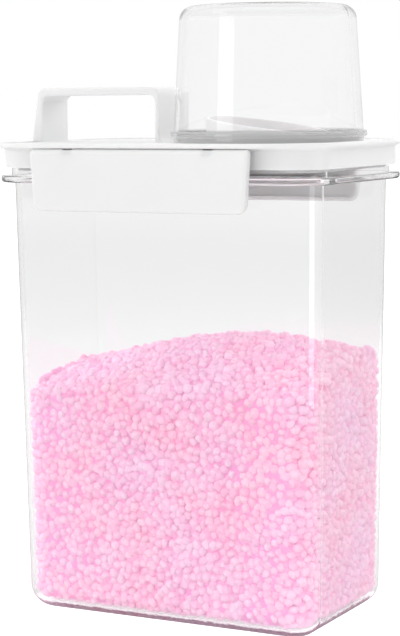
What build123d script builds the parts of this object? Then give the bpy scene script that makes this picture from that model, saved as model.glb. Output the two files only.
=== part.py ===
from build123d import *

import os
from math import atan2, degrees, exp, hypot, sqrt

# Clear laundry powder container, in millimetres. The origin is at the middle of the tank's base,
# X runs along the wide sides, the front is towards -Y, and Z points up.

# Tank: a moulded clear box that narrows towards its base, with a flange and a neck on top.
tank_wide = 159.1
tank_deep = 96.2
tank_corner = 14.4
tank_narrowing = 3.05
tank_base_corner = 13.7
tank_base_round = 11.5
tank_shoulder = 205.4
tank_wall = 2.0
tank_floor = 2.8
inside_round = 8.0
flange_thick = 3.1
flange_margin_x = 6.45
flange_margin_y = 6.45
flange_corner = 20.9
flange_under_round = 1.5
flange_top_round = 0.6
neck_inset = 4.9
neck_wall = 2.0
neck_ledge = 1.4
neck_lip_round = 0.5

# Lid: one white moulding with a thin top, a brim, a skirt, a plug, a spout and a loop handle.
lid_seat_gap = 0.1
lid_top_thick = 2.0
brim_over_x = 1.0
brim_over_y = 7.75
brim_corner = 31.5
brim_thick = 2.2
brim_edge_round = 0.9
rim_wide = 2.6
rim_high = 0.6
skirt_inset = 2.1
skirt_wall = 1.9
skirt_drop = 9.5
skirt_foot_gap = 3.7
skirt_blend = 1.2
plug_gap = 2.2
plug_wall = 1.8
plug_deep = 10.5
plug_ledge = 1.1
plug_ledge_high = 1.2

# Seal ring in the groove of the plug.
seal_high = 5.6
seal_clearance = 0.08
seal_body_thick = 1.0
seal_fin_high = 0.9

# Spout and the low ring that the cup presses onto.
spout_centre_x = 36.0
spout_radius = 29.0
spout_wall = 1.9
spout_high = 12.6
spout_drop = 9.0
spout_lip_round = 0.6
cup_ring_wall = 1.8
cup_ring_high = 4.2
cup_ring_clearance = 0.3

# Loop handle on the lid.
handle_inset = 0.1
handle_lean = 4.2
handle_high = 26.2
handle_deep = 24.0
handle_bar = 3.9
handle_window_left = 6.7
handle_window_wide = 62.2
handle_right_leg = 2.6
handle_outer_round = 4.2
handle_window_round = 3.2
handle_foot_flare = 4.0
handle_window_flare = 1.6
handle_edge_round = 1.0
handle_sink = 0.3
handle_root = 1.75
handle_toe = 1.3

# Latches: wide flaps that hang from the brim and hook under the flange.
latch_half_wide = 56.0
latch_narrowing = 1.9
latch_drop = 12.4
latch_stand_off = 5.7
latch_wall = 2.2
latch_bottom_corner = 5.0
latch_edge_round = 1.5
latch_brim_gap = 0.2
barrel_radius = 2.5
hook_gap = 0.3
hook_bite = 1.4
hook_high = 3.2
hook_tip_high = 1.2
hook_side_gap = 4.5
pin_radius = 1.1
pin_clearance = 0.05
eye_radius = 1.9
arm_thick = 2.2
arm_wide = 4.0
arm_place = 36.0
arm_side_gap = 0.4
arm_root = 0.9
slot_gap = 0.3

# Measuring cup, upside down over the spout.
cup_seat_gap = 0.05
cup_radius = 44.3
cup_top_radius = 40.5
cup_high = 62.6
cup_wall = 1.7
cup_top_thick = 2.0
cup_top_round = 6.5
cup_skirt_high = 2.3
cup_bead_high = 3.0
cup_bead_out = 1.3
cup_bead_round = 0.9
cup_mouth_round = 0.5

# Bead filling, heaped under the spout.
heap_gap = 0.3
heap_edge_high = 101.6
heap_rise = 31.9
heap_peak_x = 25.0
heap_peak_y = 13.0
heap_reach_x = 111.0
heap_reach_y = 57.5
heap_margin = 12.0
heap_grid_steps = 14

# Lumps on the filling that stand for the beads: faceted domes that just reach its outer form.
lump_pitch = 13.5
lump_radius = 8.0
lump_rise = 2.6
lump_sides = 6
lump_row_share = 0.87
lump_foot_share = 0.8
lump_top_share = 0.3
lump_clear = 0.6

# One overrun for every cut that has to pass a face.
overrun = 1.0

# Worked out from the sizes above.
flange_wide = tank_wide + 2 * flange_margin_x
flange_deep = tank_deep + 2 * flange_margin_y
flange_top = tank_shoulder + flange_thick
neck_wide = flange_wide - 2 * neck_inset
neck_deep = flange_deep - 2 * neck_inset
neck_corner = flange_corner - neck_inset
skirt_foot = flange_top + skirt_foot_gap
brim_under = skirt_foot + skirt_drop
brim_top = brim_under + brim_thick
lid_top = brim_top - rim_high
lid_under = lid_top - lid_top_thick
neck_top = lid_under - lid_seat_gap
brim_wide = flange_wide + 2 * brim_over_x
brim_deep = flange_deep + 2 * brim_over_y
skirt_wide = flange_wide - 2 * skirt_inset
skirt_deep = flange_deep - 2 * skirt_inset
skirt_corner = flange_corner - skirt_inset
plug_wide = neck_wide - 2 * (neck_wall + plug_gap)
plug_deep_y = neck_deep - 2 * (neck_wall + plug_gap)
plug_corner = neck_corner - neck_wall - plug_gap
plug_foot = lid_under - plug_deep
latch_face_y = flange_deep / 2 + latch_stand_off + latch_wall
latch_foot = tank_shoulder - latch_drop
hinge_y = latch_face_y - barrel_radius
hinge_z = brim_under - latch_brim_gap - barrel_radius
cup_foot = lid_top + cup_seat_gap


def box_between(x0, x1, y0, y1, z0, z1):
    """Box between two corners."""
    centre = Pos((x0 + x1) / 2, (y0 + y1) / 2, (z0 + z1) / 2)
    return centre * Box(x1 - x0, y1 - y0, z1 - z0)


def slab(wide, deep, corner, low, high):
    """Upright block with rounded corners between two heights."""
    return Pos(0, 0, low) * extrude(RectangleRounded(wide, deep, corner), high - low)


def frame_ring(wide, deep, corner, wall, low, high):
    """Upright wall that follows a rounded rectangle."""
    outer = slab(wide, deep, corner, low, high)
    inner = slab(wide - 2 * wall, deep - 2 * wall, corner - wall, low - overrun, high + overrun)
    return outer - inner


def tank_outline(inset, height):
    """Width, depth and corner radius of the tank at a height, drawn inwards by an inset."""
    share = 1 - height / tank_shoulder
    shrink = 2 * (inset + tank_narrowing * share)
    corner = tank_corner + (tank_base_corner - tank_corner) * share - inset
    return tank_wide - shrink, tank_deep - shrink, corner


def tapered_block(inset, low, high, foot_round):
    """The tank's tapered form, drawn inwards by an inset, between two heights."""
    ends = [Pos(0, 0, height) * RectangleRounded(*tank_outline(inset, height)) for height in (low, high)]
    block = loft([end.face() for end in ends], ruled=True)
    return fillet(block.edges().group_by(Axis.Z)[0], foot_round)


def edges_at(shape, height):
    """Edges that lie at one height."""
    return shape.edges().filter_by(lambda edge: abs(edge.bounding_box().min.Z - height) < seal_clearance
                                   and abs(edge.bounding_box().max.Z - height) < seal_clearance)


def make_tank():
    """Clear tank with floor, flange and neck."""
    flange = slab(flange_wide, flange_deep, flange_corner, tank_shoulder, flange_top)
    flange = fillet(edges_at(flange, tank_shoulder), flange_under_round)
    flange = fillet(edges_at(flange, flange_top), flange_top_round)
    neck = slab(neck_wide, neck_deep, neck_corner, flange_top - flange_top_round, neck_top)
    neck = fillet(edges_at(neck, neck_top), neck_lip_round)
    tank = tapered_block(0, 0, tank_shoulder, tank_base_round) + flange + neck
    cavity = tapered_block(tank_wall, tank_floor, tank_shoulder + flange_thick, inside_round)
    ledge = tank_shoulder + neck_ledge
    mouth = slab(neck_wide - 2 * neck_wall, neck_deep - 2 * neck_wall, neck_corner - neck_wall,
                 ledge, neck_top + overrun)
    return tank - cavity - mouth


def make_brim():
    """Flat top of the lid with its rounded brim and low raised rim."""
    plate = slab(brim_wide, brim_deep, brim_corner, brim_under, brim_top)
    plate = fillet(edges_at(plate, brim_top), brim_edge_round)
    plate = fillet(edges_at(plate, brim_under), brim_edge_round)
    tray = slab(brim_wide - 2 * rim_wide, brim_deep - 2 * rim_wide, brim_corner - rim_wide,
                lid_top, brim_top + overrun)
    inner = slab(skirt_wide - skirt_wall, skirt_deep - skirt_wall, skirt_corner - skirt_wall / 2,
                 lid_under, brim_under + overrun / 2)
    return plate - tray + inner


def make_skirt():
    """Outer wall that hangs around the tank's neck, blended into the brim."""
    outer = slab(skirt_wide, skirt_deep, skirt_corner, skirt_foot, brim_under + brim_thick / 2)
    blend = slab(skirt_wide + 2 * skirt_blend, skirt_deep + 2 * skirt_blend, skirt_corner + skirt_blend,
                 brim_under - skirt_blend, brim_under + brim_thick / 2)
    blend = chamfer(edges_at(blend, brim_under - skirt_blend), skirt_blend - overrun / 100)
    inner = slab(skirt_wide - 2 * skirt_wall, skirt_deep - 2 * skirt_wall, skirt_corner - skirt_wall,
                 skirt_foot - overrun, lid_under)
    return outer + blend - inner


def make_plug():
    """Inner wall that enters the neck, with two ledges that hold the seal ring."""
    wall = frame_ring(plug_wide, plug_deep_y, plug_corner, plug_wall, plug_foot, lid_under + overrun / 2)
    ledge_wide = plug_wide + 2 * plug_ledge
    ledge_deep = plug_deep_y + 2 * plug_ledge
    for low in (plug_foot, plug_foot + plug_ledge_high + seal_high + 2 * seal_clearance):
        wall += frame_ring(ledge_wide, ledge_deep, plug_corner + plug_ledge, plug_ledge + plug_wall / 2,
                           low, low + plug_ledge_high)
    return wall


def make_spout():
    """Round pouring collar with a sloped lip, higher on the side next to the handle."""
    collar = Pos(spout_centre_x, 0, lid_top - overrun) * extrude(Circle(spout_radius), spout_high + overrun)
    slope = Polyline((spout_centre_x - spout_radius - overrun, lid_top + spout_high),
                     (spout_centre_x + spout_radius + overrun, lid_top + spout_high - spout_drop),
                     (spout_centre_x + spout_radius + overrun, lid_top + spout_high + overrun),
                     (spout_centre_x - spout_radius - overrun, lid_top + spout_high + overrun), close=True)
    wedge = extrude(Plane.XZ * make_face(slope), spout_radius + overrun, both=True)
    bore = Pos(spout_centre_x, 0, lid_under - overrun) * extrude(
        Circle(spout_radius - spout_wall), spout_high + lid_top_thick + 3 * overrun)
    collar = collar - wedge - bore
    lip = collar.edges().group_by(Axis.Z)[-1]
    return collar, bore, lip


def make_cup_ring():
    """Low ring on the lid that the cup's mouth fits over."""
    radius = cup_radius - cup_wall - cup_ring_clearance
    ring = Circle(radius) - Circle(radius - cup_ring_wall)
    ring = Pos(spout_centre_x, 0, lid_top - overrun / 2) * extrude(ring, cup_ring_high + overrun / 2)
    return fillet(ring.edges().group_by(Axis.Z)[-1], cup_ring_wall / 4)


def handle_profile():
    """Outline of the loop handle in the XZ plane, with flared feet that sink into the lid."""
    left = handle_inset - brim_wide / 2
    root = lid_top - handle_root
    sink = lid_top - handle_sink
    top = lid_top + handle_high
    window_left = left + handle_window_left
    window_right = window_left + handle_window_wide
    window_top = top - handle_bar
    right = window_right + handle_right_leg
    flare = handle_foot_flare + handle_toe
    inner_flare = handle_window_flare + handle_toe
    points = [(left, root), (left + handle_lean, top), (right, top), (right, sink), (right + flare, sink),
              (right + flare, root), (window_right - inner_flare, root), (window_right - inner_flare, sink),
              (window_right, sink), (window_right, window_top), (window_left, window_top),
              (window_left, sink), (window_left + inner_flare, sink), (window_left + inner_flare, root)]
    rounds = {1: handle_outer_round, 2: handle_outer_round, 3: handle_foot_flare, 8: handle_window_flare,
              9: handle_window_round, 10: handle_window_round, 11: handle_window_flare}
    outline = make_face(Polyline(*points, close=True))
    for index, radius in rounds.items():
        corner = outline.vertices().sort_by_distance((points[index][0], points[index][1], 0))[0]
        outline = fillet(corner, radius)
    return outline


def make_handle():
    """Loop handle: a wide strap with rounded edges, moulded with the lid."""
    strap = extrude(Plane.XZ * handle_profile(), handle_deep / 2, both=True)
    long_edges = strap.faces().filter_by(Axis.Y).edges()
    long_edges = long_edges.filter_by(lambda edge: edge.bounding_box().max.Z > lid_top)
    return fillet(long_edges, handle_edge_round)


def make_hinge_arm(place):
    """Arm on the front of the skirt whose eye carries one pin of the latch."""
    half = arm_wide / 2
    wall = skirt_deep / 2 - arm_root
    arm = box_between(place - half, place + half, -hinge_y, -wall,
                      hinge_z - arm_thick / 2, hinge_z + arm_thick / 2)
    axis = Pos(place, -hinge_y, hinge_z) * Rot(0, 90, 0)
    eye = axis * Cylinder(eye_radius, arm_wide)
    bore = axis * Cylinder(pin_radius + pin_clearance, arm_wide + 2 * overrun)
    return arm + eye - bore


def make_lid():
    """White lid with everything that is moulded on it."""
    collar, bore, lip = make_spout()
    collar = fillet(lip, spout_lip_round)
    lid = make_brim() + make_skirt() + make_plug()
    lid = lid + collar - bore + make_cup_ring() + make_handle()
    for place in (-arm_place, arm_place):
        arm = make_hinge_arm(place)
        lid = lid + arm + mirror(arm, about=Plane.XZ)
    return lid


def make_gasket():
    """Soft ring in the plug's groove with two fins that reach the neck."""
    low = plug_foot + plug_ledge_high + seal_clearance
    high = low + seal_high
    reach = plug_gap - seal_clearance
    inner = slab(plug_wide + 2 * seal_clearance, plug_deep_y + 2 * seal_clearance,
                 plug_corner + seal_clearance, low - overrun, high + overrun)
    ring = slab(plug_wide + 2 * seal_body_thick, plug_deep_y + 2 * seal_body_thick,
                plug_corner + seal_body_thick, low, high)
    for fin_low in (low + seal_fin_high, high - 2 * seal_fin_high):
        ring += slab(plug_wide + 2 * reach, plug_deep_y + 2 * reach, plug_corner + reach,
                     fin_low, fin_low + seal_fin_high)
    return ring - inner


def latch_outline(inset, top):
    """Front outline of a latch in the XZ plane up to a height, drawn inwards by an inset."""
    wide = latch_half_wide - inset
    foot = latch_half_wide - latch_narrowing - inset
    low = latch_foot + inset
    outline = make_face(Polyline((-wide, top), (-foot, low), (foot, low), (wide, top), close=True))
    return fillet(outline.vertices().group_by(Axis.Y)[0], latch_bottom_corner - inset)


def latch_blank():
    """The latch before it is hollowed: a rounded bar section cut to the front outline."""
    front = -latch_face_y
    back = front + 2 * barrel_radius
    section = make_face(Polyline((front, latch_foot - overrun), (back, latch_foot - overrun),
                                 (back, hinge_z), (front, hinge_z), close=True))
    section = section + Pos(-hinge_y, hinge_z) * Circle(barrel_radius)
    bar = extrude(Plane.YZ * section, latch_half_wide + overrun, both=True)
    outline = extrude(Plane.XZ.offset(latch_face_y + overrun) * latch_outline(0, brim_under),
                      -2 * (barrel_radius + overrun))
    blank = bar & outline
    seams = edges_at(blank, hinge_z)
    rims = blank.edges().filter_by(lambda edge: all(edge.center() != seam.center() for seam in seams))
    return fillet(rims, latch_edge_round)


def make_latch():
    """Front latch: a shallow tray with a hinge barrel, two pins and a hook."""
    face = Plane.XZ.offset(latch_face_y - latch_wall)
    pocket = extrude(face * latch_outline(latch_wall, hinge_z - barrel_radius),
                     -2 * barrel_radius - overrun)
    return cut_hinge_slots(latch_blank() - pocket + make_hook())


def make_hook():
    """Ridge across the inside of the latch that catches under the flange."""
    back = latch_face_y - latch_wall / 2
    tip = flange_deep / 2 - hook_bite
    high = tank_shoulder - hook_gap
    section = make_face(Polyline((-back, high), (-tip, high), (-tip, high - hook_tip_high),
                                 (-back + latch_wall / 2, high - hook_high), (-back, high - hook_high),
                                 close=True))
    half = latch_half_wide - latch_narrowing - hook_side_gap
    return extrude(Plane.YZ * section, half, both=True)


def cut_hinge_slots(latch):
    """Slots in the barrel for the lid's hinge arms, crossed by the latch's own pins."""
    reach = eye_radius + slot_gap
    half_arm = arm_thick / 2 + slot_gap
    half = arm_wide / 2 + arm_side_gap
    for place in (-arm_place, arm_place):
        axis = Pos(place, -hinge_y, hinge_z) * Rot(0, 90, 0)
        slot = axis * Cylinder(reach, 2 * half)
        slot += box_between(place - half, place + half, -hinge_y, -hinge_y + barrel_radius + overrun,
                            hinge_z - half_arm, hinge_z + barrel_radius + overrun)
        slot += box_between(place - half, place + half, -hinge_y - half_arm, -hinge_y + overrun,
                            hinge_z, hinge_z + barrel_radius + overrun)
        pin = axis * Cylinder(pin_radius, 2 * (half + overrun / 2))
        latch = latch - slot + pin
    return latch


def make_cup():
    """Clear measuring cup with a beaded mouth, standing upside down."""
    top = cup_foot + cup_high
    slope = (cup_radius - cup_top_radius) / cup_high
    bead_low = cup_foot + cup_skirt_high
    bead_high = bead_low + cup_bead_high
    bead = cup_radius + cup_bead_out
    shell = [(0, cup_foot), (cup_radius, cup_foot), (cup_radius, bead_low), (bead, bead_low),
             (bead, bead_high), (cup_radius - slope * (bead_high - cup_foot), bead_high),
             (cup_top_radius, top), (0, top)]
    outer = make_face(Polyline(*shell, close=True))
    for index, radius in ((3, cup_bead_round), (4, cup_bead_round), (1, cup_mouth_round), (6, cup_top_round)):
        corner = outer.vertices().sort_by_distance((shell[index][0], shell[index][1], 0))[0]
        outer = fillet(corner, radius)
    inner_top = top - cup_top_thick
    hollow = [(0, cup_foot - overrun), (cup_radius - cup_wall, cup_foot - overrun),
              (cup_radius - cup_wall, cup_foot), (cup_top_radius - cup_wall, inner_top), (0, inner_top)]
    inner = make_face(Polyline(*hollow, close=True))
    corner = inner.vertices().sort_by_distance((hollow[3][0], hollow[3][1], 0))[0]
    inner = fillet(corner, cup_top_round - cup_wall)
    section = Plane.XZ * (outer - inner)
    return Pos(spout_centre_x, 0, 0) * revolve(section, Axis.Z)


def heap_height(x, y):
    """Height of the bead surface at a place in the tank."""
    across = ((x - heap_peak_x) / heap_reach_x) ** 2
    along = ((y - heap_peak_y) / heap_reach_y) ** 2
    return heap_edge_high + heap_rise * exp(-across - along)


def heap_normal(x, y):
    """Direction square to the heaped top over a point of the plan."""
    bump = heap_height(x, y) - heap_edge_high
    slope_x = -2 * bump * (x - heap_peak_x) / heap_reach_x ** 2
    slope_y = -2 * bump * (y - heap_peak_y) / heap_reach_y ** 2
    return Vector(-slope_x, -slope_y, 1).normalized()


def make_lump():
    """One faceted dome with its corners on a ball, its middle at zero and its top towards +Z."""
    rings = []
    for share in (lump_foot_share, lump_top_share):
        corners = RegularPolygon(lump_radius * share, lump_sides).vertices()
        corners = sorted(corners, key=lambda corner: atan2(corner.Y, corner.X))
        rings.append([Vector(corner.X, corner.Y, lump_radius * sqrt(1 - share ** 2)) for corner in corners])
    foot, top = rings
    faces = [top]
    for here in range(lump_sides):
        before = here - 1
        faces.append([Vector(0, 0, 0), foot[before], foot[here]])
        faces.append([foot[before], foot[here], top[here], top[before]])
    return Solid(Shell([Face(Wire.make_polygon(corners)) for corners in faces]))


def side_lumps(inset, low):
    """Seats of the lumps on the sides: staggered rows on each flat, with the corners in every other row."""
    seats = []
    row_pitch = lump_pitch * lump_row_share
    margin = lump_radius * lump_foot_share + lump_clear
    for row in range(int((heap_edge_high + heap_rise - low) / row_pitch) + 1):
        height = low + row * row_pitch
        wide, deep, corner = tank_outline(inset, height)
        places = []
        for turn, reach, length in ((0, wide / 2, deep), (90, deep / 2, wide),
                                    (180, wide / 2, deep), (270, deep / 2, wide)):
            outward = Vector(1, 0, 0).rotate(Axis.Z, turn)
            sideways = Vector(0, 1, 0).rotate(Axis.Z, turn)
            count = int((length / 2 - corner - margin) * 2 / lump_pitch) + 1 - row % 2
            for index in range(count):
                offset = (index - (count - 1) / 2) * lump_pitch
                places.append((outward * reach + sideways * offset, outward))
            if row % 2:
                diagonal = (outward + sideways).normalized()
                middle = outward * (reach - corner) + sideways * (length / 2 - corner)
                places.append((middle + diagonal * corner, diagonal))
        for place, outward in places:
            if height + lump_radius + lump_rise <= heap_height(place.X, place.Y):
                middle = place - outward * lump_radius + Vector(0, 0, height)
                seats.append(Plane(middle, x_dir=(0, 0, 1), z_dir=outward))
    return seats


def top_lumps(inset):
    """Seats of the lumps on the heaped top, in staggered rows, square to its slope."""
    seats = []
    row_pitch = lump_pitch * lump_row_share
    margin = lump_rise + lump_radius * lump_foot_share + lump_clear
    rows = int(tank_deep / row_pitch / 2)
    columns = int(tank_wide / lump_pitch / 2) + 1
    for row in range(-rows, rows + 1):
        for column in range(-columns, columns + 1):
            x = (column + (row % 2) / 2) * lump_pitch
            y = row * row_pitch
            high = heap_height(x, y)
            wide, deep, corner = tank_outline(inset + margin, high)
            corner = max(corner, 0)
            over_x = max(abs(x) - wide / 2 + corner, 0)
            over_y = max(abs(y) - deep / 2 + corner, 0)
            if hypot(over_x, over_y) <= corner:
                upward = heap_normal(x, y)
                middle = Vector(x, y, high) - upward * lump_radius
                seats.append(Plane(middle, x_dir=(0, 1, 0), z_dir=upward))
    return seats


def make_beads():
    """Bead filling: follows the tank's inside, heaped towards the spout, with a lumpy skin."""
    peak = heap_edge_high + heap_rise
    inset = tank_wall + heap_gap
    foot = tank_floor + heap_gap
    plan = Pos(0, 0, foot) * RectangleRounded(*tank_outline(inset + lump_rise, foot))
    widening = degrees(atan2(tank_narrowing, tank_shoulder))
    filling = extrude(plan, amount=peak + overrun - foot, taper=-widening)
    filling = fillet(filling.edges().group_by(Axis.Z)[0], inside_round - heap_gap)
    half_x = tank_wide / 2 + heap_margin
    half_y = tank_deep / 2 + heap_margin
    steps = [2 * index / heap_grid_steps - 1 for index in range(heap_grid_steps + 1)]
    grid = [[(half_x * u, half_y * v, heap_height(half_x * u, half_y * v) - lump_rise) for v in steps]
            for u in steps]
    surface = Face.make_surface_from_array_of_points(grid)
    filling -= extrude(surface, amount=2 * heap_rise, dir=(0, 0, 1))
    seats = side_lumps(inset, foot + lump_radius) + top_lumps(inset)
    lump = make_lump()
    return filling + [seat * lump for seat in seats]


def main():
    """Write one file for each piece."""
    os.makedirs("parts", exist_ok=True)
    latch = make_latch()
    pieces = {
        "tank": make_tank(),
        "lid": make_lid(),
        "gasket": make_gasket(),
        "front_latch": latch,
        "back_latch": mirror(latch, about=Plane.XZ),
        "measuring_cup": make_cup(),
        "scent_beads": make_beads(),
    }
    for name, shape in pieces.items():
        export_step(shape, f"parts/{name}.step")


main()
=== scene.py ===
import math

import bmesh
import bpy
import numpy as np
from mathutils import Matrix, Vector
from mathutils.bvhtree import BVHTree


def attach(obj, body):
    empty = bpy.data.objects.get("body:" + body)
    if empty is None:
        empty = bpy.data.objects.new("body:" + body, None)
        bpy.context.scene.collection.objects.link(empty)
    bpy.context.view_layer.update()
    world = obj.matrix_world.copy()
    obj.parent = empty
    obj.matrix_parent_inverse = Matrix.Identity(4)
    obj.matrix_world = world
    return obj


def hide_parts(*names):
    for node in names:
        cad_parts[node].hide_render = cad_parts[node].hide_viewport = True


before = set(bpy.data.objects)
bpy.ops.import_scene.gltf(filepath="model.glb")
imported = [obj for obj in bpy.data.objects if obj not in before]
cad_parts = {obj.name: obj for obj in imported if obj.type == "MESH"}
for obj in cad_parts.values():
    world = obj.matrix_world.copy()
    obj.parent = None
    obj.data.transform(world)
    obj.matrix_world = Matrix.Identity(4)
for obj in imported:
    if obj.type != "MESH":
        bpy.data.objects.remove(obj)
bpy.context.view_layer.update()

# One millimetre in metres.
MM = 0.001

# Camera: place in metres, angles in radians, lens from the focal length in photo pixels.
CAMERA_PLACE = (0.43683, -0.82187, 0.24332)
CAMERA_YAW = 0.4895
CAMERA_PITCH = 0.1111
CAMERA_ROLL = -0.0104
FOCAL_PIXELS = 1961.6
IMAGE_WIDE, IMAGE_HIGH = 400, 636
SENSOR_MM = 36.0
CLIP_NEAR, CLIP_FAR = 0.01, 30.0

# Beads in millimetres: radius, distances between middles, and how far they lie in from the surface.
# The spreads, the squeeze and the lump are shares of the radius.
BEAD_RADIUS = 2.45
BEAD_RADIUS_SPREAD = 0.17
BEAD_SPACING = 3.1
BEAD_DEPTH_JITTER = 0.45
BEAD_TOP_JITTER = 1.5
BEAD_DEEP = 1.7
BEAD_DEEP_CLEAR = 2.5
BEAD_CANDIDATES_PER_MM2 = 1.6
BEAD_SQUEEZE = 0.2
BEAD_LUMP = 0.11
BEAD_SUBDIVISIONS = 2
WALL_GAP = 0.3
SEED = 11

# Which way a bead's place faces, from the upward part of its direction: where the top begins and is
# full, how much it is preferred as a side, and below what the beads lie unseen on the floor.
TOP_FROM, TOP_TO = 0.5, 0.75
TOP_PREFERENCE = 0.12
UNSEEN_BELOW = -0.5

# What counts as the tank's inside: its floor by slope and height in millimetres, its walls by a ray
# that meets another wall. The ray starts off the wall by one part in this many of a millimetre.
FLOOR_SLOPE = 0.3
FLOOR_BAND = 14.0
PROBE_PARTS = 10

# Heaped top of the filling in millimetres: height at the walls, rise, place of the peak and reach.
HEAP_EDGE_HIGH = 101.6
HEAP_RISE = 31.9
HEAP_PEAK = (25.0, 13.0)
HEAP_REACH = (111.0, 57.5)

# Closed core behind the beads: distance in from the surface in millimetres, and its divisions.
CORE_INSET = 3.4
CORE_SPOKES = 192
CORE_LEVELS = 26
CORE_RINGS = 14
CORE_BRINK_ROUNDS = 4
CORE_PROBE_HIGH = 60.0

# Colours from dark to light: stops of (place, colour). Roughness from the smoothest to the dullest.
PINK = [(0.0, (0.97, 0.56, 0.765)), (0.5, (0.98, 0.62, 0.805)), (1.0, (0.98, 0.67, 0.835))]
# The deeper layer of beads and the core behind them are deeper pinks: painted shade in the gaps
# between the surface beads.
DEEP_PINK_PAINTED_SHADE = [(0.0, (0.96, 0.46, 0.70)), (1.0, (0.97, 0.54, 0.76))]
CORE_PINK_PAINTED_SHADE = [(0.0, (0.96, 0.40, 0.69)), (1.0, (0.97, 0.44, 0.71))]
PINK_ROUGH, DEEP_ROUGH, CORE_ROUGH = (0.42, 0.6), (0.5, 0.7), (0.6, 0.8)
BEAD_SHADES = [(0.3, (0.95, 0.95, 0.95)), (0.7, (1.0, 1.0, 1.0))]
BEAD_TINTS = [(0.35, (1.0, 0.955, 0.935)), (0.65, (0.965, 0.995, 1.0))]
# The beads glow faintly in their own tone: painted light that lifts the shade in the creases between
# them.
BEAD_PAINTED_GLOW = 0.06
BEAD_SHINE = 0.05
WHITE = [(0.3, (0.83, 0.83, 0.834)), (0.7, (0.86, 0.86, 0.86))]
WHITE_ROUGH = (0.34, 0.44)
MILKY = [(0.3, (0.74, 0.75, 0.76)), (0.7, (0.80, 0.81, 0.82))]
MILKY_ROUGH = 0.5

# Light that sinks into the white plastic: share, reach for each colour, and depth in metres.
SINK_SHARE = 0.7
SINK_REACH = (1.0, 0.95, 0.9)
SINK_DEPTH = 0.0011

# Clear plastic: tones between a lowest and a highest place in metres. The tank's faint grey is its
# own; its clearer band at the top is painted light that lightens the shaded parts under the lid seen
# through it.
TANK_TONES_PAINTED_LIGHT = [(0.0, (0.97, 0.97, 0.973)), (0.8, (0.975, 0.975, 0.978)),
              (0.86, (0.995, 0.995, 0.995)), (1.0, (0.995, 0.995, 0.995))]
TANK_SPAN = (0.0, 0.22)
# The cup's grey band along its foot is painted shade.
CUP_TONES_PAINTED_SHADE = [(0.0, (0.56, 0.56, 0.565)), (0.085, (0.62, 0.62, 0.623)),
             (0.1, (0.985, 0.985, 0.988)), (1.0, (0.985, 0.985, 0.988))]
CUP_SPAN = (0.2233, 0.286)
CLEAR_IOR = 1.49
CLEAR_SHADOW = 0.95
CLEAR_ROUGH = (0.0, 0.03)

# Rays in clear plastic: the share of those that light something which goes straight on, and the
# number of bounces after which a seen ray does. A ray lights something from its first dull bounce.
TANK_STRAIGHT, CUP_STRAIGHT = 0.0, 0.93
CAUGHT_AFTER = 4.5
DULL_BOUNCE = 0.5

# Floor: size and drop in metres, its white, and its glow for the camera, under the tank, into the
# tank and onto the object's outside.
FLOOR_SIZE = 12.0
FLOOR_DROP = 0.0003
FLOOR_WHITE = (0.88, 0.88, 0.88, 1.0)
FLOOR_GLOW = 0.35
# The glow under the tank is painted light that lightens the tank's contact shadow, seen directly and
# through its base.
FLOOR_UNDER_PAINTED_LIGHT = 0.6
FLOOR_INSIDE = 0.75
FLOOR_BOUNCE = 0.2

# Where those glows end: by distance from the middle in metres, and for the one under the tank by
# shares of the way to the base's edge, which is this far from the middle across and along.
FLOOR_AROUND = (0.20, 0.32)
FOOTPRINT = (0.0765, 0.045)
FOOTPRINT_EDGE = (0.97, 1.1)

# Light from the room in each direction, on open surfaces, into the tank and in reflections: a level
# plus a slope along each axis. What is seen through clear plastic changes with the height.
ROOM_LEVEL = 0.98
ROOM_SLOPE = (-0.25, 0.14, 0.10)
INSIDE_LEVEL = 2.45
INSIDE_SLOPE = (-1.0, 0.33, 0.25)
MIRROR_LEVEL = 0.75
MIRROR_SLOPE = (0.0, 0.05, 0.10)
MIRROR_FLOOR = 0.35
THROUGH_STOPS = [(0.0, 0.8), (0.30, 0.85), (0.42, 0.97), (0.62, 0.97), (0.78, 0.9), (1.0, 0.85)]

# Bright window in the reflections: direction in degrees, soft side edge as cosines, level, and the
# soft top edge as the upward part of the direction.
WINDOW_TURN = -118.0
WINDOW_EDGE = (0.9810, 0.9840)
WINDOW_LEVEL = 2.2
WINDOW_TOP = (0.14, 0.17)

# Soft lamps: place, aim and size in metres, power in watts. Reflections show only one of them.
TANK_MIDDLE = (0.0, 0.0, 0.14)
LAMPS = {
    "key": ((-0.9, -1.1, 1.3), TANK_MIDDLE, (1.1, 1.1), 0.15),
    "left": ((-1.15, -0.25, 0.45), TANK_MIDDLE, (0.5, 0.6), 1.4),
    "back_right": ((0.45, 0.85, 0.7), (-0.02, 0.0, 0.24), (0.5, 0.5), 3.4),
    "low_front": ((0.35, -1.05, 0.08), (0.03, 0.0, 0.2), (0.5, 0.25), 1.0),
    "edge": ((0.58, -0.04, 0.10), (0.079, -0.048, 0.10), (0.20, 0.18), 0.40),
}
SHOWN_LAMP = "edge"


def add_object(name, data):
    """New object in the scene."""
    item = bpy.data.objects.new(name, data)
    bpy.context.scene.collection.objects.link(item)
    return item


def new_material(name):
    """Material with only an output; returns it, its nodes, its links and the output's surface."""
    material = bpy.data.materials.new(name)
    material.use_nodes = True
    nodes, links = material.node_tree.nodes, material.node_tree.links
    nodes.clear()
    return material, nodes, links, nodes.new("ShaderNodeOutputMaterial").inputs["Surface"]


def noise_node(nodes, links, scale, detail):
    """Noise value in object coordinates, which are the part's own in metres."""
    noise = nodes.new("ShaderNodeTexNoise")
    noise.inputs["Scale"].default_value = scale
    noise.inputs["Detail"].default_value = detail
    links.new(nodes.new("ShaderNodeTexCoord").outputs["Object"], noise.inputs["Vector"])
    return noise.outputs["Fac"]


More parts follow.
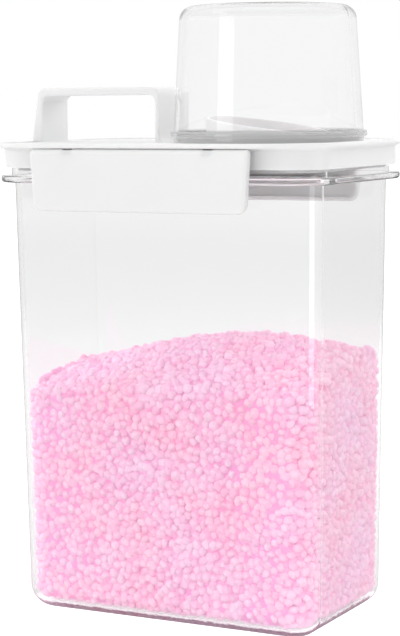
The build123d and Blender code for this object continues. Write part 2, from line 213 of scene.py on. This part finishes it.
def maths(nodes, links, operation, *values):
    """Result of a maths node; each value is a socket or a number."""
    node = nodes.new("ShaderNodeMath")
    node.operation = operation
    for index, value in enumerate(values):
        if isinstance(value, (int, float)):
            node.inputs[index].default_value = value
        else:
            links.new(value, node.inputs[index])
    return node.outputs["Value"]


def vector_maths(nodes, links, operation, vector, other=None):
    """Vector maths node on a vector and, where it is given, a fixed one."""
    node = nodes.new("ShaderNodeVectorMath")
    node.operation = operation
    links.new(vector, node.inputs[0])
    if other is not None:
        node.inputs[1].default_value = other
    return node


def map_range(nodes, links, value, low, high, from_low=0.3, from_high=0.7):
    """Maps a value, as a rule a noise value, to a range of numbers, and stops at its ends."""
    node = nodes.new("ShaderNodeMapRange")
    node.inputs["From Min"].default_value = from_low
    node.inputs["From Max"].default_value = from_high
    node.inputs["To Min"].default_value = low
    node.inputs["To Max"].default_value = high
    links.new(value, node.inputs["Value"])
    return node.outputs["Result"]


def bump(nodes, links, height, strength, distance, under=None):
    """Bump fed by a height, on top of another bump where one is given."""
    node = nodes.new("ShaderNodeBump")
    node.inputs["Strength"].default_value = strength
    node.inputs["Distance"].default_value = distance
    links.new(height, node.inputs["Height"])
    if under is not None:
        links.new(under, node.inputs["Normal"])
    return node.outputs["Normal"]


def colour_ramp(nodes, links, value, stops):
    """Colour from a ramp between stops of (place, colour)."""
    ramp = nodes.new("ShaderNodeValToRGB")
    ramp.color_ramp.elements[0].position = stops[0][0]
    ramp.color_ramp.elements[0].color = (*stops[0][1], 1.0)
    ramp.color_ramp.elements[1].position = stops[-1][0]
    ramp.color_ramp.elements[1].color = (*stops[-1][1], 1.0)
    for place, colour in stops[1:-1]:
        ramp.color_ramp.elements.new(place).color = (*colour, 1.0)
    links.new(value, ramp.inputs["Fac"])
    return ramp.outputs["Color"]


def after_dull(nodes, links, path):
    """1 for a ray that has left a dull surface, so that it lights something and isn't seen."""
    return maths(nodes, links, "GREATER_THAN", path.outputs["Diffuse Depth"], DULL_BOUNCE)


def first_look(nodes, links, path, ray):
    """1 for a kind of ray before any dull surface, so that it is seen and lights nothing."""
    early = maths(nodes, links, "LESS_THAN", path.outputs["Diffuse Depth"], DULL_BOUNCE)
    return maths(nodes, links, "MULTIPLY", path.outputs[ray], early)


def blend(nodes, links, share, base, other):
    """Mix of two shaders."""
    mix = nodes.new("ShaderNodeMixShader")
    links.new(share, mix.inputs["Fac"])
    links.new(base, mix.inputs[1])
    links.new(other, mix.inputs[2])
    return mix.outputs["Shader"]


def clear_plastic(name, tones, span, straight_share):
    """Polished see-through plastic: tone by height that holds painted light and painted shade bands,
    faint waves, and lamp light comes through.

    A seen ray caught inside leaves straight, and so does a share of the rays that light things.
    """
    material, nodes, links, surface = new_material(name)
    shader = nodes.new("ShaderNodeBsdfPrincipled")
    split = nodes.new("ShaderNodeSeparateXYZ")
    links.new(nodes.new("ShaderNodeTexCoord").outputs["Object"], split.inputs["Vector"])
    height = map_range(nodes, links, split.outputs["Z"], 0.0, 1.0, *span)
    links.new(colour_ramp(nodes, links, height, tones), shader.inputs["Base Color"])
    shader.inputs["Transmission Weight"].default_value = 1.0
    shader.inputs["IOR"].default_value = CLEAR_IOR
    waves = noise_node(nodes, links, scale=22.0, detail=2.0)
    links.new(bump(nodes, links, waves, strength=0.02, distance=0.002), shader.inputs["Normal"])
    haze = noise_node(nodes, links, scale=9.0, detail=4.0)
    links.new(map_range(nodes, links, haze, *CLEAR_ROUGH), shader.inputs["Roughness"])
    clear = nodes.new("ShaderNodeBsdfTransparent")
    clear.inputs["Color"].default_value = (CLEAR_SHADOW, CLEAR_SHADOW, CLEAR_SHADOW, 1.0)
    path = nodes.new("ShaderNodeLightPath")
    late = after_dull(nodes, links, path)
    caught = maths(nodes, links, "MULTIPLY", maths(nodes, links, "SUBTRACT", 1.0, late),
                   maths(nodes, links, "GREATER_THAN", path.outputs["Ray Depth"], CAUGHT_AFTER))
    lighting = maths(nodes, links, "MULTIPLY", late, straight_share)
    straight = maths(nodes, links, "MAXIMUM", caught, lighting)
    share = maths(nodes, links, "MAXIMUM", path.outputs["Is Shadow Ray"], straight)
    links.new(blend(nodes, links, share, shader.outputs["BSDF"], clear.outputs["BSDF"]), surface)
    return material


def white_plastic(name):
    """Satin white moulded plastic with a fine grain, shallow sinks and slight tone changes."""
    material, nodes, links, surface = new_material(name)
    shader = nodes.new("ShaderNodeBsdfPrincipled")
    tone = noise_node(nodes, links, scale=14.0, detail=4.0)
    links.new(colour_ramp(nodes, links, tone, WHITE), shader.inputs["Base Color"])
    grain = noise_node(nodes, links, scale=2600.0, detail=2.0)
    sink = noise_node(nodes, links, scale=35.0, detail=2.0)
    links.new(map_range(nodes, links, sink, *WHITE_ROUGH), shader.inputs["Roughness"])
    fine = bump(nodes, links, grain, strength=0.12, distance=0.00005)
    wide = bump(nodes, links, sink, strength=0.08, distance=0.0008, under=fine)
    links.new(wide, shader.inputs["Normal"])
    shader.inputs["Subsurface Weight"].default_value = SINK_SHARE
    shader.inputs["Subsurface Radius"].default_value = SINK_REACH
    shader.inputs["Subsurface Scale"].default_value = SINK_DEPTH
    links.new(shader.outputs["BSDF"], surface)
    return material


def silicone(name):
    """Soft milky seal material."""
    material, nodes, links, surface = new_material(name)
    shader = nodes.new("ShaderNodeBsdfPrincipled")
    tone = noise_node(nodes, links, scale=60.0, detail=3.0)
    links.new(colour_ramp(nodes, links, tone, MILKY), shader.inputs["Base Color"])
    shader.inputs["Roughness"].default_value = MILKY_ROUGH
    links.new(bump(nodes, links, tone, strength=0.15, distance=0.0005), shader.inputs["Normal"])
    links.new(shader.outputs["BSDF"], surface)
    return material


def bead_material(name, stops, rough):
    """Dull pink pellet; each bead has its own tone, wide patches are warmer or cooler, and a faint
    glow is painted light.
    """
    material, nodes, links, surface = new_material(name)
    shader = nodes.new("ShaderNodeBsdfPrincipled")
    geometry = nodes.new("ShaderNodeNewGeometry")
    tone = colour_ramp(nodes, links, geometry.outputs["Random Per Island"], stops)
    mottle = noise_node(nodes, links, scale=420.0, detail=3.0)
    patch = noise_node(nodes, links, scale=28.0, detail=2.0)
    for value, layer in ((mottle, BEAD_SHADES), (patch, BEAD_TINTS)):
        mix = nodes.new("ShaderNodeMix")
        mix.data_type = "RGBA"
        mix.blend_type = "MULTIPLY"
        mix.inputs["Factor"].default_value = 1.0
        links.new(tone, mix.inputs["A"])
        links.new(colour_ramp(nodes, links, value, layer), mix.inputs["B"])
        tone = mix.outputs["Result"]
    links.new(tone, shader.inputs["Base Color"])
    links.new(map_range(nodes, links, mottle, *rough), shader.inputs["Roughness"])
    links.new(bump(nodes, links, mottle, strength=0.35, distance=0.0004), shader.inputs["Normal"])
    shader.inputs["Specular IOR Level"].default_value = BEAD_SHINE
    # Faint glow in the bead's tone: painted light that lifts the shade in the creases.
    links.new(tone, shader.inputs["Emission Color"])
    shader.inputs["Emission Strength"].default_value = BEAD_PAINTED_GLOW
    links.new(shader.outputs["BSDF"], surface)
    return material


def dress(node, material):
    """Gives a CAD node's object its material."""
    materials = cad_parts[node].data.materials
    materials.clear()
    materials.append(material)


def heap_height(x, y):
    """Height of the filling's top over points of the plan."""
    across = ((x - HEAP_PEAK[0]) / HEAP_REACH[0]) ** 2
    along = ((y - HEAP_PEAK[1]) / HEAP_REACH[1]) ** 2
    return HEAP_EDGE_HIGH + HEAP_RISE * np.exp(-across - along)


def heap_normals(x, y):
    """Unit vectors square to the filling's top."""
    rise = heap_height(x, y) - HEAP_EDGE_HIGH
    slope_x = -2 * rise * (x - HEAP_PEAK[0]) / HEAP_REACH[0] ** 2
    slope_y = -2 * rise * (y - HEAP_PEAK[1]) / HEAP_REACH[1] ** 2
    normals = np.stack([-slope_x, -slope_y, np.ones_like(x)], axis=1)
    return normals / np.linalg.norm(normals, axis=1)[:, None]


def tank_triangles():
    """Corners of the tank's triangles in millimetres, and a tree for rays against them."""
    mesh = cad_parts["tank"].data
    mesh.calc_loop_triangles()
    places = np.empty(len(mesh.vertices) * 3)
    mesh.vertices.foreach_get("co", places)
    places = places.reshape(-1, 3) / MM
    corners = np.empty(len(mesh.loop_triangles) * 3, int)
    mesh.loop_triangles.foreach_get("vertices", corners)
    corners = corners.reshape(-1, 3)
    return places[corners], BVHTree.FromPolygons(places.tolist(), corners.tolist())


def wall_reach(tree, x, y, z):
    """Distance from the tank's middle line to its inside, towards a point of the plan."""
    hit = tree.ray_cast(Vector((0, 0, z)), Vector((x, y, 0)).normalized())
    return hit[3] if hit[0] is not None else 0.0


def wall_samples(triangles, tree, rng):
    """Random points on the tank's inside round the filling, with directions out of the filling."""
    a, b, c = (triangles[:, i] for i in range(3))
    cross = np.cross(b - a, c - a)
    area = np.linalg.norm(cross, axis=1) / 2
    normal = cross / np.maximum(2 * area[:, None], 1e-12)
    count = int(area.sum() * BEAD_CANDIDATES_PER_MM2)
    pick = rng.choice(len(area), size=count, p=area / area.sum())
    u, v = rng.random((2, count))
    flip = u + v > 1
    u[flip], v[flip] = 1 - u[flip], 1 - v[flip]
    points = a[pick] + (b - a)[pick] * u[:, None] + (c - a)[pick] * v[:, None]
    normals = normal[pick]
    low = points[:, 2] < heap_height(points[:, 0], points[:, 1]) - BEAD_RADIUS / 2
    points, normals = points[low], normals[low]
    inside = np.array([n[2] > FLOOR_SLOPE and p[2] < FLOOR_BAND or
                       tree.ray_cast(Vector(p + n / PROBE_PARTS), Vector(n))[0] is not None
                       for p, n in zip(points, normals)])
    return points[inside] + normals[inside] * WALL_GAP, -normals[inside]


def top_samples(triangles, tree, rng):
    """Random points on the filling's top, with directions out of the filling."""
    half = np.abs(triangles.reshape(-1, 3)).max(axis=0)[:2]
    count = int(4 * half[0] * half[1] * BEAD_CANDIDATES_PER_MM2)
    x, y = (2 * rng.random((2, count)) - 1) * half[:, None]
    z = heap_height(x, y)
    keep = np.array([math.hypot(*place) < wall_reach(tree, *place, high) - WALL_GAP - BEAD_RADIUS
                     for *place, high in zip(x, y, z)])
    x, y, z = x[keep], y[keep], z[keep]
    return np.stack([x, y, z], axis=1), heap_normals(x, y)


def scatter(points, spacing, taken=()):
    """Indices of points kept so that none is nearer than spacing to another or to a taken one."""
    cells = {}

    def cell(point):
        return tuple(int(math.floor(value / spacing)) for value in point)

    def free(point):
        x, y, z = cell(point)
        for i in (x - 1, x, x + 1):
            for j in (y - 1, y, y + 1):
                for k in (z - 1, z, z + 1):
                    for other in cells.get((i, j, k), ()):
                        dx, dy, dz = point[0] - other[0], point[1] - other[1], point[2] - other[2]
                        if dx * dx + dy * dy + dz * dz < spacing * spacing:
                            return False
        return True

    for point in taken:
        cells.setdefault(cell(point), []).append(tuple(point))
    kept = []
    for index, point in enumerate(points):
        point = tuple(point)
        if free(point):
            cells.setdefault(cell(point), []).append(point)
            kept.append(index)
    return np.array(kept, int)


def fitted_radii(centres, radii, tree):
    """Radii made smaller where a bead of the widest shape would reach into the tank's wall."""
    room = np.array([tree.find_nearest(Vector(centre))[3] for centre in centres])
    return np.minimum(radii, room / (1 + BEAD_SQUEEZE) / (1 + BEAD_LUMP))


def bead_layers(triangles, tree):
    """Bead centres, radii and outward directions, of the layer at the surface and the one behind."""
    rng = np.random.default_rng(SEED)
    samples = wall_samples(triangles, tree, rng), top_samples(triangles, tree, rng)
    points, normals = (np.concatenate(pair) for pair in zip(*samples))
    order = rng.permutation(len(points))
    points, normals = points[order], normals[order]
    top = np.clip((normals[:, 2] - TOP_FROM) / (TOP_TO - TOP_FROM), 0, 1)
    jitter = rng.random(len(points)) * (BEAD_DEPTH_JITTER + BEAD_TOP_JITTER * top)
    radius = BEAD_RADIUS * (1 + BEAD_RADIUS_SPREAD * (2 * rng.random(len(points)) - 1))
    centres = points - normals * (WALL_GAP + radius + jitter)[:, None]
    first = scatter(centres, BEAD_SPACING)
    seen = normals[:, 2] > UNSEEN_BELOW
    deep = (points - normals * (BEAD_RADIUS + BEAD_DEEP))[seen]
    second = scatter(deep, BEAD_DEEP_CLEAR, centres[first])
    layers = ((centres[first], radius[first], normals[first]),
              (deep[second], radius[seen][second], normals[seen][second]))
    return [(places, fitted_radii(places, radii, tree), facing) for places, radii, facing in layers]


def unit_bead():
    """Corners and triangles of a ball with a radius of 1 and 80 faces."""
    ball = bmesh.new()
    bmesh.ops.create_icosphere(ball, subdivisions=BEAD_SUBDIVISIONS, radius=1.0)
    ball.verts.ensure_lookup_table()
    places = np.array([vert.co for vert in ball.verts])
    faces = np.array([[vert.index for vert in face.verts] for face in ball.faces])
    ball.free()
    return places, faces


def random_turns(rng, count):
    """Random rotation matrices."""
    q = rng.normal(size=(count, 4))
    q /= np.linalg.norm(q, axis=1)[:, None]
    w, x, y, z = q.T
    return np.stack([1 - 2 * (y * y + z * z), 2 * (x * y - z * w), 2 * (x * z + y * w),
                     2 * (x * y + z * w), 1 - 2 * (x * x + z * z), 2 * (y * z - x * w),
                     2 * (x * z - y * w), 2 * (y * z + x * w), 1 - 2 * (x * x + y * y)],
                    axis=1).reshape(-1, 3, 3)


def bead_mesh(name, centres, radii, rng):
    """One mesh of many small irregular balls."""
    ball, faces = unit_bead()
    count = len(centres)
    squeeze = 1 + BEAD_SQUEEZE * (2 * rng.random((count, 1, 3)) - 1)
    lumps = 1 + BEAD_LUMP * (2 * rng.random((count, len(ball), 1)) - 1)
    shape = ball[None] * squeeze * lumps
    shape = np.einsum("nij,nkj->nki", random_turns(rng, count), shape)
    places = (shape * radii[:, None, None] + centres[:, None, :]) * MM
    index = (faces[None] + len(ball) * np.arange(count)[:, None, None]).reshape(-1)
    mesh = bpy.data.meshes.new(name)
    mesh.vertices.add(count * len(ball))
    mesh.vertices.foreach_set("co", places.reshape(-1))
    mesh.loops.add(len(index))
    mesh.loops.foreach_set("vertex_index", index.astype(np.int32))
    mesh.polygons.add(len(index) // 3)
    mesh.polygons.foreach_set("loop_start", np.arange(0, len(index), 3, dtype=np.int32))
    mesh.update(calc_edges=True)
    mesh.validate()
    mesh.polygons.foreach_set("use_smooth", np.ones(len(mesh.polygons), bool))
    return add_object(name, mesh)


def make_core(tree, material):
    """Closed core of the filling behind the beads: rings up the walls, then over the top."""
    floor = tree.ray_cast(Vector((0, 0, CORE_PROBE_HIGH)), Vector((0, 0, -1)))[0].z + CORE_INSET
    angles = np.arange(CORE_SPOKES) * 2 * math.pi / CORE_SPOKES
    plan = np.stack([np.cos(angles), np.sin(angles)], axis=1)

    def reach(heights):
        walls = [wall_reach(tree, x, y, z) for (x, y), z in zip(plan, heights)]
        return np.array(walls) - CORE_INSET

    brink = np.full(CORE_SPOKES, HEAP_EDGE_HIGH)
    for _ in range(CORE_BRINK_ROUNDS):
        rim = plan * reach(brink)[:, None]
        brink = heap_height(rim[:, 0], rim[:, 1]) - CORE_INSET
    rings = []
    for level in range(CORE_LEVELS + 1):
        heights = floor + (brink - floor) * level / CORE_LEVELS
        rings.append(np.column_stack([plan * reach(heights)[:, None], heights]))
    rim = rings[-1][:, :2]
    for ring in range(1, CORE_RINGS):
        place = rim * (1 - ring / CORE_RINGS)
        rings.append(np.column_stack([place, heap_height(place[:, 0], place[:, 1]) - CORE_INSET]))
    peak = heap_height(np.zeros(1), np.zeros(1))[0] - CORE_INSET
    places = np.concatenate(rings + [np.array([[0, 0, peak], [0, 0, floor]])]) * MM
    crown, foot = len(places) - 2, len(places) - 1
    last = (len(rings) - 1) * CORE_SPOKES
    faces = []
    for here in range(CORE_SPOKES):
        there = (here + 1) % CORE_SPOKES
        for low in range(0, last, CORE_SPOKES):
            high = low + CORE_SPOKES
            faces.append((low + here, low + there, high + there, high + here))
        faces.append((last + here, last + there, crown))
        faces.append((there, here, foot))
    mesh = bpy.data.meshes.new("bead_core")
    mesh.from_pydata(places.tolist(), [], faces)
    mesh.polygons.foreach_set("use_smooth", np.ones(len(mesh.polygons), bool))
    mesh.materials.append(material)
    piece = add_object("bead_core", mesh)
    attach(piece, "container")
    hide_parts("scent_beads")


def make_beads(triangles, tree, material, deep_shade_material):
    """All visible beads, in one piece for each side of the tank and each layer."""
    rng = np.random.default_rng(SEED + 1)
    sides = {"front": (0, -1, 0), "back": (0, 1, 0), "left": (-1, 0, 0), "right": (1, 0, 0),
             "top": (0, 0, 1), "base": (0, 0, -1)}
    directions = np.array(list(sides.values()), float)
    preferences = TOP_PREFERENCE * np.array([name == "top" for name in sides])
    # The inner layer's deeper pink is painted shade.
    finishes = {"outer": material, "inner": deep_shade_material}
    for layer, (centres, radii, normals) in zip(finishes, bead_layers(triangles, tree)):
        side = np.argmax(normals @ directions.T + preferences, axis=1)
        for index, name in enumerate(sides):
            chosen = side == index
            if not chosen.any():
                continue
            piece = bead_mesh(f"beads_{name}_{layer}", centres[chosen], radii[chosen], rng)
            piece.data.materials.append(finishes[layer])
            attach(piece, "container")


def footprint_share(nodes, links, place):
    """Distance of a place from the middle as a share of the way to the base's edge."""
    split = nodes.new("ShaderNodeSeparateXYZ")
    links.new(place, split.inputs["Vector"])
    shares = []
    for axis, half in zip("XY", FOOTPRINT):
        apart = maths(nodes, links, "ABSOLUTE", split.outputs[axis])
        shares.append(maths(nodes, links, "DIVIDE", apart, half))
    return maths(nodes, links, "MAXIMUM", *shares)


def make_floor():
    """Plain white floor that keeps the object's shadow, save for painted light under the tank that
    lightens its contact shadow, and sends light up into the tank.
    """
    bpy.ops.mesh.primitive_plane_add(size=FLOOR_SIZE, location=(0, 0, -FLOOR_DROP))
    floor = bpy.context.object
    floor.name = "floor"
    material, nodes, links, surface = new_material("floor_white")
    path = nodes.new("ShaderNodeLightPath")
    paint = nodes.new("ShaderNodeBsdfDiffuse")
    paint.inputs["Color"].default_value = FLOOR_WHITE
    place = nodes.new("ShaderNodeTexCoord").outputs["Object"]
    # Painted light under the tank, lightening its contact shadow.
    under = map_range(nodes, links, footprint_share(nodes, links, place),
                      FLOOR_UNDER_PAINTED_LIGHT, 0.0, *FOOTPRINT_EDGE)
    apart = vector_maths(nodes, links, "LENGTH", place).outputs["Value"]
    around = map_range(nodes, links, apart, FLOOR_INSIDE, 0.0, *FLOOR_AROUND)
    late = after_dull(nodes, links, path)
    early = maths(nodes, links, "SUBTRACT", 1.0, late)
    seen = maths(nodes, links, "MULTIPLY", path.outputs["Is Camera Ray"], FLOOR_GLOW)
    near = maths(nodes, links, "MULTIPLY", under, early)
    share = map_range(nodes, links, path.outputs["Is Transmission Ray"],
                      FLOOR_BOUNCE / FLOOR_INSIDE, 1.0, 0.0, 1.0)
    inside = maths(nodes, links, "MULTIPLY", around, maths(nodes, links, "MULTIPLY", late, share))
    glow = nodes.new("ShaderNodeEmission")
    total = maths(nodes, links, "ADD", inside, maths(nodes, links, "ADD", seen, near))
    links.new(total, glow.inputs["Strength"])
    add = nodes.new("ShaderNodeAddShader")
    links.new(paint.outputs["BSDF"], add.inputs[0])
    links.new(glow.outputs["Emission"], add.inputs[1])
    mirrored = nodes.new("ShaderNodeEmission")
    mirrored.inputs["Strength"].default_value = MIRROR_FLOOR
    bounced = maths(nodes, links, "SUBTRACT", first_look(nodes, links, path, "Is Glossy Ray"),
                    path.outputs["Is Transmission Ray"])
    shader = blend(nodes, links, bounced, add.outputs["Shader"], mirrored.outputs["Emission"])
    links.new(shader, surface)
    floor.data.materials.append(material)


def directional(nodes, links, vector, level, slope):
    """Level of light that changes evenly with direction."""
    weight = vector_maths(nodes, links, "DOT_PRODUCT", vector, slope)
    return maths(nodes, links, "ADD", weight.outputs["Value"], level)


def window(nodes, links, vector, height):
    """Extra light of one upright bright window near eye level, which only reflections show."""
    flat = vector_maths(nodes, links, "MULTIPLY", vector, (1, 1, 0)).outputs["Vector"]
    level = vector_maths(nodes, links, "NORMALIZE", flat).outputs["Vector"]
    turn = math.radians(WINDOW_TURN)
    facing = vector_maths(nodes, links, "DOT_PRODUCT", level, (math.cos(turn), math.sin(turn), 0))
    across = map_range(nodes, links, facing.outputs["Value"], 0.0, WINDOW_LEVEL, *WINDOW_EDGE)
    low = map_range(nodes, links, height, 1.0, 0.0, *WINDOW_TOP)
    return maths(nodes, links, "MULTIPLY", across, low)


def background(nodes, links, strength=None):
    """White background light, at the strength of a socket or plain."""
    node = nodes.new("ShaderNodeBackground")
    node.inputs["Color"].default_value = (1.0, 1.0, 1.0, 1.0)
    node.inputs["Strength"].default_value = 1.0
    if strength is not None:
        links.new(strength, node.inputs["Strength"])
    return node


def make_world():
    """White background, soft light that is stronger from the left, and a room for reflections."""
    world = bpy.data.worlds.new("studio")
    bpy.context.scene.world = world
    world.use_nodes = True
    nodes, links = world.node_tree.nodes, world.node_tree.links
    nodes.clear()
    out = nodes.new("ShaderNodeOutputWorld")
    path = nodes.new("ShaderNodeLightPath")
    vector = nodes.new("ShaderNodeTexCoord").outputs["Generated"]
    split = nodes.new("ShaderNodeSeparateXYZ")
    links.new(vector, split.inputs["Vector"])
    upward = split.outputs["Z"]

    outside = directional(nodes, links, vector, ROOM_LEVEL, ROOM_SLOPE)
    inside = directional(nodes, links, vector, INSIDE_LEVEL, INSIDE_SLOPE)
    room = directional(nodes, links, vector, MIRROR_LEVEL, MIRROR_SLOPE)
    room = maths(nodes, links, "ADD", room, window(nodes, links, vector, upward))
    lit = background(nodes, links, outside)
    lit_inside = background(nodes, links, inside)
    mirrored = background(nodes, links, room)
    through = background(nodes, links)
    height = map_range(nodes, links, upward, 0.0, 1.0, -1.0, 1.0)
    greys = [(place, (tone, tone, tone)) for place, tone in THROUGH_STOPS]
    links.new(colour_ramp(nodes, links, height, greys), through.inputs["Color"])
    shader = lit.outputs["Background"]
    for share, light in ((path.outputs["Is Transmission Ray"], lit_inside),
                         (first_look(nodes, links, path, "Is Glossy Ray"), mirrored),
                         (first_look(nodes, links, path, "Is Transmission Ray"), through),
                         (path.outputs["Is Camera Ray"], background(nodes, links))):
        shader = blend(nodes, links, share, shader, light.outputs["Background"])
    links.new(shader, out.inputs["Surface"])


def make_lamps():
    """Rectangular soft lamps that face a point; one of them is only for reflections."""
    for name, (place, aim, size, power) in LAMPS.items():
        lamp = bpy.data.lights.new(name, "AREA")
        lamp.shape = "RECTANGLE"
        lamp.size, lamp.size_y = size
        lamp.energy = power
        holder = add_object(name, lamp)
        holder.visible_glossy = name == SHOWN_LAMP
        holder.visible_diffuse = name != SHOWN_LAMP
        holder.visible_transmission = False
        turn = (Vector(aim) - Vector(place)).to_track_quat("-Z", "Y").to_matrix().to_4x4()
        holder.matrix_world = Matrix.Translation(place) @ turn


def make_camera():
    """Camera of the photograph."""
    camera = bpy.data.cameras.new("camera")
    camera.sensor_width = SENSOR_MM
    camera.lens = FOCAL_PIXELS * SENSOR_MM / max(IMAGE_WIDE, IMAGE_HIGH)
    camera.clip_start = CLIP_NEAR
    camera.clip_end = CLIP_FAR
    ahead = Vector((-math.sin(CAMERA_YAW), math.cos(CAMERA_YAW), 0))
    side = Vector((math.cos(CAMERA_YAW), math.sin(CAMERA_YAW), 0))
    up = Vector((0, 0, 1))
    forward = ahead * math.cos(CAMERA_PITCH) - up * math.sin(CAMERA_PITCH)
    upward = up * math.cos(CAMERA_PITCH) + ahead * math.sin(CAMERA_PITCH)
    right = side * math.cos(CAMERA_ROLL) + upward * math.sin(CAMERA_ROLL)
    upward = upward * math.cos(CAMERA_ROLL) - side * math.sin(CAMERA_ROLL)
    turn = Matrix((right, upward, -forward)).transposed().to_4x4()
    holder = add_object("camera", camera)
    holder.matrix_world = Matrix.Translation(CAMERA_PLACE) @ turn
    bpy.context.scene.camera = holder


make_camera()
make_world()
make_lamps()
make_floor()

# The tank's clearer top band is painted light; the cup's grey foot band is painted shade.
dress("tank", clear_plastic("clear_tank", TANK_TONES_PAINTED_LIGHT, TANK_SPAN, TANK_STRAIGHT))
dress("measuring_cup", clear_plastic("clear_cup", CUP_TONES_PAINTED_SHADE, CUP_SPAN, CUP_STRAIGHT))
white = white_plastic("white_satin")
for node in ("lid", "front_latch", "back_latch"):
    dress(node, white)
dress("gasket", silicone("milky_seal"))

triangles, tree = tank_triangles()
# The core and the inner bead layer have deeper pinks as painted shade in the gaps.
make_core(tree, bead_material("pink_core_shade", CORE_PINK_PAINTED_SHADE, CORE_ROUGH))
make_beads(triangles, tree, bead_material("pink_bead", PINK, PINK_ROUGH),
           bead_material("pink_bead_deep_shade", DEEP_PINK_PAINTED_SHADE, DEEP_ROUGH))

scene = bpy.context.scene
scene.view_settings.view_transform = "Standard"
